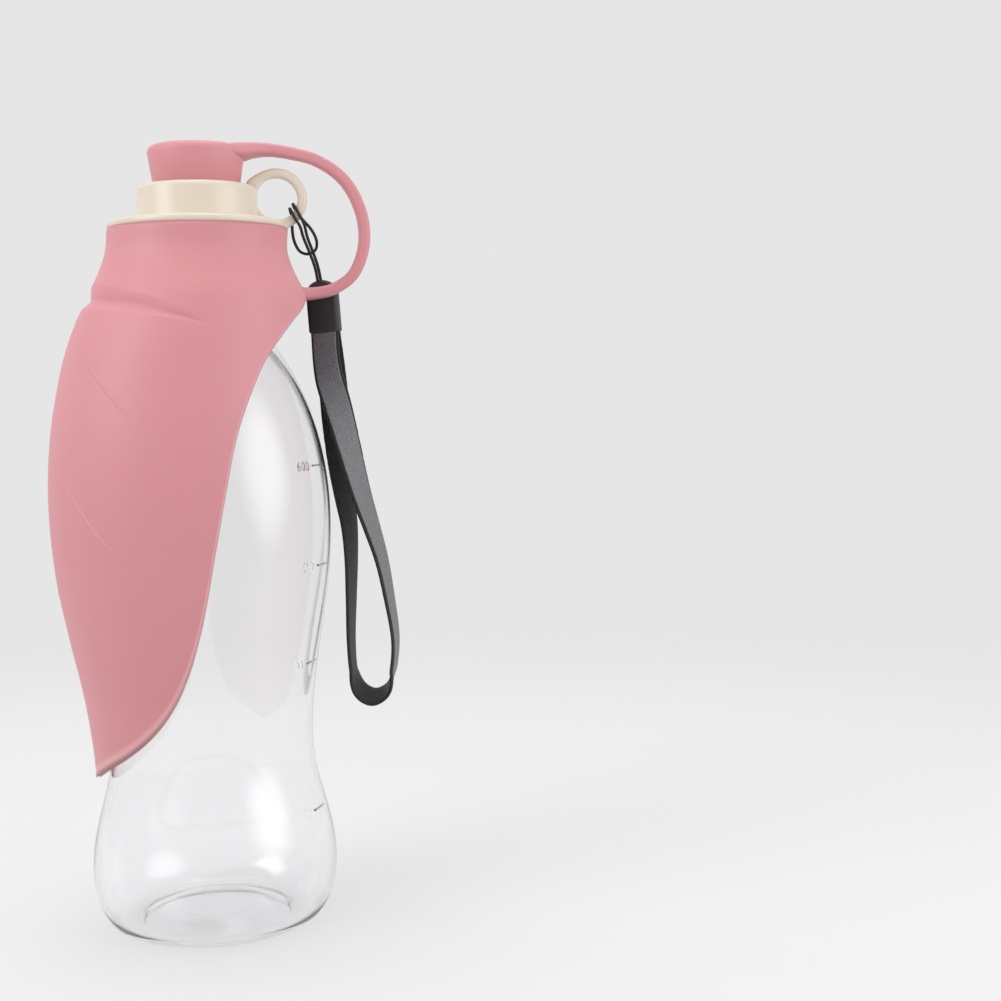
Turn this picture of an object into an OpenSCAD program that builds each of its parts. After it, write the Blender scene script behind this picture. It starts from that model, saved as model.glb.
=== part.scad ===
// Travel water bottle for dogs: a clear squeeze bottle with a soft leaf-shaped cup that
// hangs from its screw cap, a soft spout plug on a strap, and a wrist lanyard on the cap's ring.
// Millimetres, +Z up, origin at the centre of the base. The leaf's midrib points along -X,
// the strap, the ring and the lanyard lie along +X.

/* [Bottle] */
// Wall of the clear blown bottle
bottle_wall = 1.3; // [0.8:0.1:2]
// Radius of the ring that the bottle stands on
foot_r = 30; // [27:0.5:33]
// Rise of the hollow under the base
punt_h = 5; // [3:0.5:8]
// Radius of the lower bulge
lower_r = 39.8; // [38:0.2:40.6]
// Height of the lower bulge
lower_z = 19.5; // [16:0.5:24]
// Radius of the gripped waist
waist_r = 32.9; // [31:0.1:33]
// Height of the waist
waist_z = 60; // [55:1:64]
// Radius of the upper bulge
upper_r = 40.6; // [39:0.2:41]
// Height of the upper bulge
upper_z = 131; // [126:1:136]
// Rise of the round shoulder, from the upper bulge to the neck
shoulder_rise = 59; // [56:0.5:62]
// Height of the neck, from the shoulder to its rim
neck_h = 35; // [33:0.5:38]
// Radius of the neck, outside
neck_r = 21.5; // [20:0.1:21.6]

/* [Cap] */
// How far the cap's flange reaches past its skirt
flange_out = 4.1; // [3.4:0.1:5]
// Thickness of the flange
flange_t = 2.4; // [2:0.1:3]
// Radius of the raised collar on the flange
collar_r = 19.4; // [18.5:0.1:20]
// Height of the collar above the flange
collar_h = 11.6; // [10.5:0.1:12.5]
// Wall of the moulded cap
cap_wall = 2.1; // [1.6:0.1:2.6]
// Depth of the threaded skirt below the flange
skirt_h = 21; // [17:0.5:21.5]
// Thickness of the sealing washer
washer_t = 2; // [1.4:0.1:2.4]
// Radius of the spout's bore
spout_bore_r = 6.5; // [5:0.1:7]
// Height of the spout above the collar
spout_h = 6; // [5:0.1:7]

/* [Ring for the lanyard] */
// Radius of the ring's hole
ring_hole_r = 6.7; // [5.6:0.1:7.1]
// Thickness of the ring's bar, seen along the hole
ring_bar = 3.2; // [2.8:0.1:3.4]
// Width of the ring's bar, along the hole
ring_w = 3.4; // [2.6:0.1:3.6]

/* [Plug and strap] */
// Height of the plug
plug_h = 13.5; // [12:0.1:16]
// Radius of the plug where it sits on the collar
plug_foot_r = 13.9; // [13:0.1:14.6]
// Radius of the plug at its top
plug_top_r = 15.5; // [14.8:0.1:16]
// Width of the strap
strap_w = 6; // [4:0.1:6.4]
// Thickness of the strap
strap_t = 3.8; // [3:0.1:4.2]

/* [Leaf] */
// Wall of the soft leaf
leaf_wall = 2.3; // [1.8:0.1:2.4]

/* [Lanyard] */
// Diameter of the thin cord
cord_d = 1; // [0.8:0.1:1]
// Width of the clamp that joins the cord and the webbing
clamp_w = 10.6; // [10:0.1:11]
// Thickness of the clamp
clamp_t = 5.4; // [5:0.1:5.6]
// Height of the clamp
clamp_h = 17.6; // [16:0.1:18]
// Width of the webbing
webbing_w = 9.6; // [8:0.1:9.8]
// Thickness of the webbing
webbing_t = 1.2; // [0.8:0.1:1.4]

/* [Hidden] */
$fn = 96;

clear_colour = [0.85, 0.9, 0.93, 0.45];
soft_colour = [0.88, 0.6, 0.63];
cream_colour = [0.92, 0.87, 0.79];
washer_colour = [0.95, 0.95, 0.93];
black_colour = [0.13, 0.12, 0.13];
tape_colour = [0.55, 0.55, 0.57];

// Long enough to cut right through the part
far = 60;

// Clearances: one thread or bore against another, and one moulding beside another
thread_gap = 0.8;
fit_gap = 0.1;
soft_gap = 0.3;

// Bottle, from its sizes
bottle_h = upper_z + shoulder_rise + neck_h;
round_steps = 14;
corner_steps = 6;
foot_w = 6;
punt_r = foot_r - foot_w;
neck_wall = 1.9;
neck_fillet = 3;
bead_r = neck_r + 3;
bead_t = 2.4;
bead_z = bottle_h - skirt_h - bead_t - soft_gap + washer_t;

// Cap, stacked on the washer that seals the neck
flange_z = bottle_h + washer_t;
flange_top = flange_z + flange_t;
collar_top = flange_top + collar_h;
skirt_in = neck_r + thread_gap;
thread_h = 0.6;
skirt_out = skirt_in + cap_wall + thread_h;
flange_r = skirt_out + flange_out;
edge_r = 1.8;
foot_fillet = 1.6;
rim_round = 0.9;
spout_wall = 2.6;
lip_out = 1;
lip_t = 1.6;

// The lip of the leaf is held between the flange and a ridge round the skirt
lip_h = 2.4;
lip_inset = 0.2;
ridge_out = 1;
ridge_t = 1.4;

ring_r = ring_hole_r + ring_bar;
ring_sunk_side = 0.5;
ring_over_flange = 1;
ring_x = collar_r + ring_hole_r - ring_sunk_side;
ring_z = flange_top + ring_hole_r + ring_over_flange;
ring_round = 1.2;
ring_sunk = 1;

plug_z = collar_top;
plug_top = plug_z + plug_h;
plug_edge = 2.4;
recess_r = spout_bore_r + spout_wall + lip_out + soft_gap;
recess_h = spout_h + 0.6;
boss_h = 4;

// The leaf, the strap and the lanyard are drawn on a bottle with these sizes. They follow
// the bottle and the cap when those change.
drawn_waist_z = 60;
drawn_upper_z = 131;
drawn_flange_z = 227;
drawn_upper_r = 40.6;
drawn_flange_r = 29.1;
drawn_ring = [25.6, 0, 237.1];

// The leaf's sections from its top edge down: height, reach of the midrib towards -X,
// and half the width across it. A section is a circle through these three points.
leaf_sections = [
    [227, 28.9, 28.9], [220, 29.6, 29.1], [213.5, 31.8, 31.2],
    [208.5, 34.2, 33.6], [205.3, 35.8, 35], [201.6, 37.4, 36], [198.3, 39, 36.8],
    [192, 41.6, 38.2], [181, 44.9, 40], [161, 48.6, 43.2], [139, 49.9, 44.8], [116, 48.4, 44],
    [96, 44.9, 41.8], [77, 41, 39], [60, 38.6, 37.4], [50, 37.9, 37.2], [44, 37.6, 37]
];
leaf_sides = 56;
// Height of the leaf's free edge, by the angle round the bottle from +X. It is the same
// on both sides, highest under the strap and lowest at the tip.
leaf_edge = [
    [0, 205], [12, 203.8], [24, 200.2], [34, 196.6], [46, 190.2], [54, 184], [64, 171.8],
    [71, 159.6], [77, 142], [82, 124.5], [86, 111], [90, 100.6], [96, 89], [104, 78.6],
    [115, 69.8], [130, 62.4], [150, 56], [168, 51.5], [180, 50]
];
// The fold where the blade leaves the collar: the angle from the midrib, the height of its
// crease and its size. It is deepest over the midrib and runs out before the margins.
fold_line = [
    [0, 204, 1], [18, 203.8, 1.04], [38, 202.9, 1.04], [52, 201.9, 0.98], [64, 200.6, 0.85],
    [74, 199.2, 0.66], [86, 197.3, 0.36], [100, 195.4, 0], [146, 203, 0], [180, 211, 0]
];
// Across the fold, from above it down: height over the crease, and share of its depth
fold_side = [[4.6, 0], [2.2, 0.5], [0, 1], [-1.2, 0.62], [-2.4, 0.05], [-3.6, 0]];
fold_depth = 1.8;
fold_least = 0.3;
// Rows of the skin: so many round the collar above the fold, across the fold, and from it
// down to the edge, where they grow further apart
collar_rows = 6;
fold_rows = len(fold_side) - 1;
blade_rows = 15;
rows_apart = 1.15;

// Centreline of the strap in the XZ plane, from the leaf to the plug
strap_route = [
    [33.2, 205.9], [38, 206.4], [43.2, 207.8], [48.8, 211.5], [52.2, 217], [53.8, 224.3],
    [53, 232.2], [49.9, 240], [45.1, 245.8], [38, 250], [30.5, 252], [21.5, 252.9],
    [15.8, 252.5], [11.5, 250.8]
];
strap_steps = 3;
strap_root = 1.4;
strap_top = 2;
strap_flare = 16;
strap_mid_z = 230;

// Route of the thin cord: out of the clamp, in front of the ring's bar, through the hole,
// down behind it as a slack bight, and back beside itself into the clamp
cord_route = [
    [40.3, 7.9, 207.5], [39.9, 7.7, 211], [38.9, 6.9, 216], [37.4, 5, 220.8], [35.8, 1.7, 225],
    [34.3, -1.1, 228.6], [33, -2.2, 231.2], [31.9, -2.4, 233.2], [31.1, -1.7, 234.8],
    [30.8, 0, 235.5], [31.2, 1.7, 234.8], [32.2, 2.5, 233.1], [34.2, 2.9, 230.6],
    [36.9, 3.9, 227.6], [38.6, 5.3, 224.2], [38.3, 6.6, 221.3], [35.8, 7.1, 219.9],
    [33, 6.4, 220.8], [31.2, 5, 224], [30.6, 3.6, 227.6], [30.6, 2.6, 230.6], [30.1, 1.8, 233.1],
    [29.7, 0, 234], [30, -1.7, 233.3], [30.7, -2.5, 231.6], [31.6, -2.4, 230], [32.9, -1.5, 228],
    [34.6, 1.3, 224.7], [36.3, 4.6, 220.4], [37.9, 6.5, 215.6], [38.8, 7.2, 211], [39.2, 7.4, 207.5]
];
cord_steps = 2;
cord_sides = 8;

// The clamp: where the middle of its top lies, how it leans and how it is turned
clamp_top = [40.1, 8.7, 211.4];
clamp_lean = -3.5;
clamp_turn = -18;
clamp_dome = 5;
clamp_round = 1.4;
clamp_bevel = 0.8;

// The webbing hangs as one loop. Each row is a pair of runs: the middle between them,
// the space between them, and the direction in degrees that the front run faces
webbing_rows = [
    [[40.8, 8.6, 199], 1.6, -18], [[41.2, 8.6, 193], 2.2, -24], [[41.8, 8.3, 185], 4, -24],
    [[42.5, 8, 178], 5.4, -14], [[43.7, 8, 171], 5.8, 0], [[45, 8, 162], 6.2, 18],
    [[47, 8, 149], 7.2, 34], [[49.1, 8, 138], 7.8, 44], [[51.2, 8, 128.5], 8.8, 52],
    [[53, 8, 117], 11.2, 60], [[54, 8, 104], 13.4, 66], [[54.7, 8, 90], 15.2, 71],
    [[54.5, 8, 79], 13.6, 73]
];
// Bottom of the loop: its lowest height, and how far its back edge is tilted up
webbing_low_z = 69.6;
webbing_lift = 26;
webbing_steps = 2;
tape_w = webbing_w - 1.4;
tape_t = 0.3;
tape_sunk = 0.08;

// A smooth curve through points, with so many steps from each to the next
function curve_at(p0, p1, p2, p3, t) =
    0.5 * (2 * p1 + (p2 - p0) * t + (2 * p0 - 5 * p1 + 4 * p2 - p3) * t * t
           + (3 * p1 - p0 - 3 * p2 + p3) * t * t * t);
function smooth(points, steps) = let (last = len(points) - 1) [
    for (i = [0 : last - 1]) for (s = [0 : steps - 1])
        curve_at(points[max(i - 1, 0)], points[i], points[i + 1], points[min(i + 2, last)], s / steps),
    points[last]
];
function unit(v) = v / norm(v);
function along(path, i) =
    unit(path[min(i + 1, len(path) - 1)] - path[max(i - 1, 0)]);
// An arc from one angle to another, as points round a centre
function arc(centre, rx, ry, from, to, steps = round_steps) = [
    for (i = [0 : steps]) let (a = from + (to - from) * i / steps)
        [centre[0] + rx * cos(a), centre[1] + ry * sin(a)]
];

// A closed skin over rings of equally many points, capped flat at both ends
module skin(rings) {
    count = len(rings[0]);
    rows = len(rings);
    points = [for (ring = rings) for (p = ring) p];
    // The two halves of a ring are split along opposite diagonals, so that the two faces of a
    // twisted tape bend the same way and never meet
    sides = [
        for (r = [0 : rows - 2]) for (i = [0 : count - 1])
            let (j = (i + 1) % count, a = r * count, b = (r + 1) * count)
                each i < count / 2 ? [[a + i, a + j, b + j], [a + i, b + j, b + i]]
                                   : [[a + i, a + j, b + i], [a + j, b + j, b + i]]
    ];
    first = [for (i = [count - 1 : -1 : 0]) i];
    last = [for (i = [0 : count - 1]) (rows - 1) * count + i];
    polyhedron(points, concat(sides, [first, last]), convexity = 8);
}

// The same, but the last ring joins the first, as round a wall with a hole through it
module closed_skin(rings) {
    count = len(rings[0]);
    rows = len(rings);
    polyhedron(
        [for (ring = rings) for (p = ring) p],
        [for (r = [0 : rows - 1]) for (i = [0 : count - 1])
            let (j = (i + 1) % count, q = (r + 1) % rows)
                each [[r * count + i, q * count + j, r * count + j],
                      [r * count + i, q * count + i, q * count + j]]],
        convexity = 8
    );
}

// One cross section of a flat tape, and one of a band, which is a rounded oblong
function tape_ring(centre, across, through, w, t) = [
    for (corner = [[1, 1], [-1, 1], [-1, -1], [1, -1]])
        centre + across * w / 2 * corner[0] + through * t / 2 * corner[1]
];
band_sides = 8;
function band_ring(centre, across, through, w, t) = [
    for (i = [0 : band_sides - 1])
        let (a = 360 * (i + 0.5) / band_sides, c = cos(a), s = sin(a))
            centre + across * w / 2 * sign(c) * pow(abs(c), 0.35)
                   + through * t / 2 * sign(s) * pow(abs(s), 0.6)
];

// The bottle's outer radius rises and falls between its bulges in smooth waves
function swell(from, to, t) = from + (to - from) * (1 - cos(180 * t)) / 2;
shoulder_end = neck_r + neck_fillet / 2;
function bottle_side(inset) = let (
    heel = arc([foot_r, lower_z], lower_r - foot_r - inset, lower_z - inset, -90, 0),
    dome_angle = acos(shoulder_end / upper_r),
    dome_h = shoulder_rise / sin(dome_angle)
) concat(
    heel,
    [for (i = [1 : round_steps]) let (t = i / round_steps)
        [swell(lower_r, waist_r, t) - inset, lower_z + (waist_z - lower_z) * t]],
    [for (i = [1 : 2 * round_steps]) let (t = i / (2 * round_steps))
        [swell(waist_r, upper_r, t) - inset, waist_z + (upper_z - waist_z) * t]],
    [for (i = [1 : round_steps]) let (a = dome_angle * i / round_steps)
        [(upper_r - inset) * cos(a), upper_z + (dome_h - inset) * sin(a)]]
);

module bottle() {
    outside = bottle_side(0);
    inside = bottle_side(bottle_wall);
    punt = [[punt_r, 0], [punt_r - 1, punt_h * 0.5], [punt_r * 0.6, punt_h * 0.85], [0, punt_h]];
    floor_line = [for (p = punt) [p[0], p[1] + bottle_wall]];
    bore_r = neck_r - neck_wall;
    color(clear_colour)
    rotate_extrude()
        polygon(concat(
            [[0, punt_h], punt[2], punt[1], punt[0]],
            outside,
            [[neck_r, bead_z - 2], [neck_r, bead_z], [bead_r - 0.6, bead_z], [bead_r, bead_z + 0.6],
             [bead_r, bead_z + bead_t - 0.4], [bead_r - 0.4, bead_z + bead_t], [neck_r, bead_z + bead_t],
             [neck_r, bottle_h - 0.5], [neck_r - 0.5, bottle_h], [bore_r, bottle_h],
             [bore_r, bead_z - 3]],
            [for (i = [len(inside) - 1 : -1 : 0]) inside[i]],
            [[punt_r, bottle_wall], floor_line[1], floor_line[2], floor_line[3]]
        ));
}

// An oblong with round corners, as points round the origin
function round_oblong(w, h, corner) = [
    for (quarter = [[1, 1, 0], [-1, 1, 90], [-1, -1, 180], [1, -1, 270]])
        each arc([quarter[0] * (w / 2 - corner), quarter[1] * (h / 2 - corner)], corner, corner,
                 quarter[2], quarter[2] + 90, corner_steps)
];
module ring_bar_shape() {
    translate([ring_r - ring_bar / 2, 0]) polygon(round_oblong(ring_bar, ring_w, ring_round));
}

module cap() {
    spout_r = spout_bore_r + spout_wall;
    spout_top = collar_top + spout_h;
    ceiling = collar_top - cap_wall;
    ridge_z = flange_z - lip_h - ridge_t;
    outline = concat(
        [[skirt_in, flange_z - skirt_h], [skirt_out, flange_z - skirt_h], [skirt_out, ridge_z],
         [skirt_out + ridge_out, ridge_z + ridge_t / 2], [skirt_out + ridge_out, ridge_z + ridge_t],
         [skirt_out, ridge_z + ridge_t], [skirt_out, flange_z]],
        arc([flange_r - rim_round, flange_z + rim_round], rim_round, rim_round, -90, 80, 8),
        arc([collar_r + foot_fillet, flange_top + foot_fillet], foot_fillet, foot_fillet, 270, 180, 6),
        arc([collar_r - edge_r, collar_top - edge_r], edge_r, edge_r, 0, 90, 6),
        [[spout_r, collar_top], [spout_r, spout_top - 2 * lip_t], [spout_r + lip_out, spout_top - lip_t],
         [spout_r + lip_out, spout_top - 0.5], [spout_r + lip_out - 0.5, spout_top],
         [spout_bore_r, spout_top], [spout_bore_r, ceiling], [collar_r - cap_wall - 1, ceiling],
         [collar_r - cap_wall, ceiling - 1], [collar_r - cap_wall, flange_z], [skirt_in, flange_z]]
    );
    color(cream_colour) {
        rotate_extrude() polygon(outline);
        // The ring stands on the flange and leans on the collar
        difference() {
            translate([ring_x, 0, ring_z]) rotate([90, 0, 0]) rotate_extrude() ring_bar_shape();
            translate([0, 0, flange_z]) cylinder(r = collar_r - ring_sunk, h = collar_h);
        }
    }
}

module cap_washer() {
    color(washer_colour)
    rotate_extrude()
        polygon([[collar_r - cap_wall + fit_gap, bottle_h], [neck_r, bottle_h],
                 [neck_r, flange_z], [collar_r - cap_wall + fit_gap, flange_z]]);
}

// The value of a smooth table at x: rows of [x, ...] in rising or falling order
function at_row(table, x, i = 0) = let (up = table[1][0] > table[0][0])
    i >= len(table) - 2 || (up ? x <= table[i + 1][0] : x >= table[i + 1][0]) ? i : at_row(table, x, i + 1);
function table_at(table, x) = let (
    i = at_row(table, x),
    last = len(table) - 1,
    t = (x - table[i][0]) / (table[i + 1][0] - table[i][0]),
    rise = table[i + 1] - table[i],
    // Slopes at both ends, from the neighbours, for a smooth curve over uneven rows
    before = i > 0 ? (table[i + 1] - table[i - 1]) / (table[i + 1][0] - table[i - 1][0])
                   : rise / rise[0],
    after = i + 1 < last ? (table[i + 2] - table[i]) / (table[i + 2][0] - table[i][0])
                         : rise / rise[0]
) table[i] + rise * t * t * (3 - 2 * t)
  + rise[0] * (before * t * (1 - t) * (1 - t) - after * t * t * (1 - t));

// A drawn height, moved with the waist, the upper bulge and the flange of the real bottle
function follow_z(z) = z > drawn_flange_z ? z - drawn_flange_z + flange_z : lookup(z, [
    [0, 0], [drawn_waist_z, waist_z], [drawn_upper_z, upper_z], [drawn_flange_z, flange_z]
]);
// How much wider the real bottle or cap is than the drawn one, at a drawn height
function wider_at(z) = lookup(z, [
    [drawn_upper_z, upper_r - drawn_upper_r], [drawn_flange_z, flange_r - drawn_flange_r]
]);

// The fold at an angle round the bottle, and how deep it cuts in at a drawn height
function fold_at(a) = table_at(fold_line, abs(a - 180));
function fold_size(a) = max(fold_at(a)[2], fold_least);
function fold_cut(a, z) = let (
    over = (z - fold_at(a)[1]) / fold_size(a),
    within = max(fold_side[fold_rows][0], min(over, fold_side[0][0]))
) fold_depth * max(fold_at(a)[2], 0) * table_at(fold_side, within)[1];

// A point on the leaf at an angle and a drawn height, drawn in from the outer face
function leaf_point(a, z, inset) = let (
    row = table_at(leaf_sections, z),
    shift = (row[2] * row[2] - row[1] * row[1]) / (2 * row[1]),
    r = row[1] + shift + wider_at(z) - fold_cut(a, z) - inset
) [shift + r * cos(a), r * sin(a), follow_z(z)];
function edge_z(a) = table_at(leaf_edge, a > 180 ? 360 - a : a)[1];
function leaf_row(level, inset) = [
    for (i = [0 : leaf_sides - 1]) let (
        a = 360 * i / leaf_sides,
        crease_z = fold_at(a)[1],
        fold_top = crease_z + fold_size(a) * fold_side[0][0],
        fold_end = crease_z + fold_size(a) * fold_side[fold_rows][0],
        across = min(max(level - collar_rows, 0), fold_rows),
        down = (level - collar_rows - fold_rows) / blade_rows,
        z = level < collar_rows ? drawn_flange_z + (fold_top - drawn_flange_z) * level / collar_rows
            : down <= 0 ? crease_z + fold_size(a) * fold_side[across][0]
            : fold_end + (edge_z(a) - fold_end) * pow(down, rows_apart)
    ) leaf_point(a, z, inset)
];
function lip_row(r, z) = [for (i = [0 : leaf_sides - 1]) let (a = 360 * i / leaf_sides)
    [r * cos(a), r * sin(a), z]];

// The strap's centreline moves out with the leaf at its root, and stays at the plug
function strap_line() = let (drawn = smooth(strap_route, strap_steps), last = len(drawn) - 1) [
    for (i = [0 : last]) let (x = drawn[i][0], z = drawn[i][1])
        [x + wider_at(z) * (1 - i / last), 0, follow_z(z)]
];
module strap_band() {
    path = strap_line();
    last = len(path) - 1;
    skin([for (i = [0 : last]) let (
        t = along(path, i),
        side = [0, 1, 0],
        // It flares into the leaf at its root and into the plug at its other end
        more = strap_root * pow(1 - i / last, strap_flare) + strap_top * pow(i / last, strap_flare))
        band_ring(path[i], side, cross(t, side), strap_w + more, strap_t + more)]);
}

module leaf_cup() {
    levels = collar_rows + fold_rows + blade_rows;
    lip_z = flange_z - lip_h;
    hole = skirt_out + fit_gap;
    rings = concat(
        [for (level = [0 : levels]) leaf_row(level, 0)],
        [for (level = [levels : -1 : 1]) leaf_row(level, leaf_wall)],
        [lip_row(flange_r - lip_inset - leaf_wall, lip_z), lip_row(hole, lip_z), lip_row(hole, flange_z)]
    );
    color(soft_colour) closed_skin(rings);
}

module plug_strap() {
    color(soft_colour)
    difference() {
        strap_band();
        // Its root ends at the leaf's collar
        translate([0, 0, follow_z(strap_mid_z) - far])
            cylinder(r = leaf_point(0, leaf_edge[0][1], -soft_gap)[0], h = far);
    }
}

module spout_plug() {
    color(soft_colour)
        rotate_extrude()
            polygon(concat(
                [[spout_bore_r - fit_gap, plug_z + recess_h - boss_h + 1],
                 [spout_bore_r - fit_gap, plug_z + recess_h], [recess_r, plug_z + recess_h],
                 [recess_r, plug_z], [plug_foot_r, plug_z]],
                arc([plug_top_r - plug_edge, plug_top - plug_edge], plug_edge, plug_edge, 0, 90, 8),
                [[0, plug_top], [0, plug_z + recess_h - boss_h],
                 [spout_bore_r - fit_gap - 1, plug_z + recess_h - boss_h]]
            ));
}

// The lanyard hangs from the ring wherever the cap holds it
module hung() {
    translate([ring_x, 0, ring_z] - drawn_ring) children();
}

// Directions square to a route that turn no more than the route does
function turned(v, t) = unit(v - t * (v * t));
module round_tube(route, steps, d, sides) {
    path = smooth(route, steps);
    last = len(path) - 1;
    sideways = [for (i = 0, v = turned([0, 1, 0], along(path, 0)); i <= last;
        i = i + 1, v = i <= last ? turned(v, along(path, i)) : v) v];
    skin([for (i = [0 : last]) let (u = sideways[i], w = cross(along(path, i), u))
        [for (k = [0 : sides - 1]) path[i] + d / 2 * (u * cos(360 * k / sides) + w * sin(360 * k / sides))]]);
}

module lanyard_cord() {
    color(black_colour)
    hung()
    round_tube(cord_route, cord_steps, cord_d, cord_sides);
}

module lanyard_clamp() {
    half = clamp_w / 2;
    color(black_colour)
    hung()
    translate(clamp_top)
    rotate([0, clamp_lean, 0])
    rotate([0, 0, clamp_turn])
    intersection() {
        rotate([90, 0, 0]) linear_extrude(clamp_t, center = true)
            polygon(concat(
                [[-half + clamp_bevel, -clamp_h], [half - clamp_bevel, -clamp_h],
                 [half, -clamp_h + clamp_bevel]],
                arc([0, -clamp_dome], half, clamp_dome, 0, 180),
                [[-half, -clamp_h + clamp_bevel]]
            ));
        translate([0, 0, -clamp_h]) linear_extrude(clamp_h)
            polygon(round_oblong(clamp_w, clamp_t, clamp_round));
    }
}

// The webbing's centreline with the way its outer face looks: down the front run, round
// the bottom and up the back run
function facing(row) = [sin(row[2]), -cos(row[2]), 0];
function run_row(row, way) = concat(row[0] + facing(row) * way * row[1] / 2, facing(row) * way);
webbing_last = webbing_rows[len(webbing_rows) - 1];
webbing_bottom = [for (a = [-45, -90, -135]) let (out = facing(webbing_last), r = webbing_last[1] / 2)
    concat(
        [webbing_last[0][0], webbing_last[0][1], webbing_last[0][2]] + out * r * cos(a)
            + [0, 0, (webbing_last[0][2] - webbing_low_z) * sin(a)],
        out * cos(a) + [0, 0, 1] * sin(a)
    )];
webbing_route = smooth(concat(
    [for (row = webbing_rows) run_row(row, 1)],
    webbing_bottom,
    [for (i = [len(webbing_rows) - 1 : -1 : 0]) run_row(webbing_rows[i], -1)]
), webbing_steps);

// How far a height is into the bottom of the loop, from 0 to 1
function low_part(z) =
    max(0, min(1, (webbing_last[0][2] - z) / (webbing_last[0][2] - webbing_low_z)));

// A band laid along the webbing's route, this far outside its centreline
module laid_band(w, t, outside, flat) {
    path = [for (p = webbing_route) [p[0], p[1], p[2]]];
    last = len(path) - 1;
    skin([for (i = [0 : last]) let (
        ahead = along(path, i),
        out = turned([webbing_route[i][3], webbing_route[i][4], webbing_route[i][5]], ahead),
        lift = webbing_lift * low_part(path[i][2]),
        across = cross(ahead, out) * cos(lift) + out * sin(lift),
        face = cross(across, ahead)
    ) flat ? tape_ring(path[i] + face * outside, across, face, w, t)
           : band_ring(path[i] + face * outside, across, face, w, t)]);
}

module wrist_webbing() {
    color(black_colour)
    hung()
    laid_band(webbing_w, webbing_t, 0, false);
}

module reflective_tape() {
    color(tape_colour)
    hung()
    laid_band(tape_w, tape_t, webbing_t / 2 + tape_t / 2 - tape_sunk, true);
}

bottle();
cap();
cap_washer();
leaf_cup();
plug_strap();
spout_plug();
lanyard_cord();
lanyard_clamp();
wrist_webbing();
reflective_tape();
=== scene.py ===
import math

import bmesh
import bpy
from mathutils import Matrix, Vector


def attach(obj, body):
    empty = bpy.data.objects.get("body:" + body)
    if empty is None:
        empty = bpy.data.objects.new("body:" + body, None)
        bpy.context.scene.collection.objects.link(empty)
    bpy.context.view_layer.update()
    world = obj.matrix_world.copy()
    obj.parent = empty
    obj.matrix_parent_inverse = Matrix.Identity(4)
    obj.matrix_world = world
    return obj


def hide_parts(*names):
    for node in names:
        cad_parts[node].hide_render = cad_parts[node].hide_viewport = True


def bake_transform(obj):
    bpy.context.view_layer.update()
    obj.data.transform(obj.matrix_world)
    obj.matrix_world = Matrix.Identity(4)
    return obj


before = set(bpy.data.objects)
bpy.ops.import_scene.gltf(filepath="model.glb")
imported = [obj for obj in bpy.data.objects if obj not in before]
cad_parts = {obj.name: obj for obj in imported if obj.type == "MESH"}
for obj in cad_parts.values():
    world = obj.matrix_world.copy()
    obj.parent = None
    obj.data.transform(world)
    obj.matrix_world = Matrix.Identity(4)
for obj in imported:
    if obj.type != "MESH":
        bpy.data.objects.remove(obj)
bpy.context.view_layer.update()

# The camera stands in front of the bottle at arm's length, a little above its shoulder, as in the
# photograph. It looks past the bottle's right side, which leaves half the frame empty.
eye = Vector((0, -0.5296, 0.1723))
turned_right = math.radians(10.51)
looking_down = math.radians(3.84)
tilted = math.radians(-1.01)
camera_data = bpy.data.cameras.new("camera")
camera_data.sensor_width = 36
camera_data.lens = 57.17
camera = bpy.data.objects.new("camera", camera_data)
camera.matrix_world = (
    Matrix.Translation(eye)
    @ Matrix.Rotation(-turned_right, 4, "Z")
    @ Matrix.Rotation(math.pi / 2 - looking_down, 4, "X")
    @ Matrix.Rotation(tilted, 4, "Z")
)
bpy.context.scene.collection.objects.link(camera)
bpy.context.scene.camera = camera


# Thin cord: a braided cord doubled into a cow hitch round the cap's ring. Both strands leave the
# clamp side by side, pass in front of the ring's bar and through the hole, and their slack bight
# hangs behind the bar. The route is the one that the solid follows.
def smooth_route(points, steps):
    """A smooth curve through points, with so many steps from each to the next."""
    out = []
    last = len(points) - 1
    for i in range(last):
        p0, p1 = points[max(i - 1, 0)], points[i]
        p2, p3 = points[i + 1], points[min(i + 2, last)]
        for s in range(steps):
            t = s / steps
            out.append(
                0.5 * (2 * p1 + (p2 - p0) * t + (2 * p0 - 5 * p1 + 4 * p2 - p3) * t * t
                       + (3 * p1 - p0 - 3 * p2 + p3) * t * t * t)
            )
    return out + [points[last]]


def new_material(name):
    """A material, its Principled shader, and functions that add a node and join two sockets."""
    made = bpy.data.materials.new(name)
    made.use_nodes = True
    tree = made.node_tree
    shader = tree.nodes["Principled BSDF"]

    def add(kind, **values):
        node = tree.nodes.new(kind)
        for key, value in values.items():
            if key in node.inputs:
                node.inputs[key].default_value = value
            else:
                setattr(node, key, value)
        return node

    return made, shader, add, tree.links.new


def raise_surface(shader, add, join, height, strength, depth):
    """Lets a pattern raise the surface as a bump, this deep in metres."""
    bump = add("ShaderNodeBump", Strength=strength, Distance=depth)
    join(height, bump.inputs["Height"])
    join(bump.outputs["Normal"], shader.inputs["Normal"])


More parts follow.
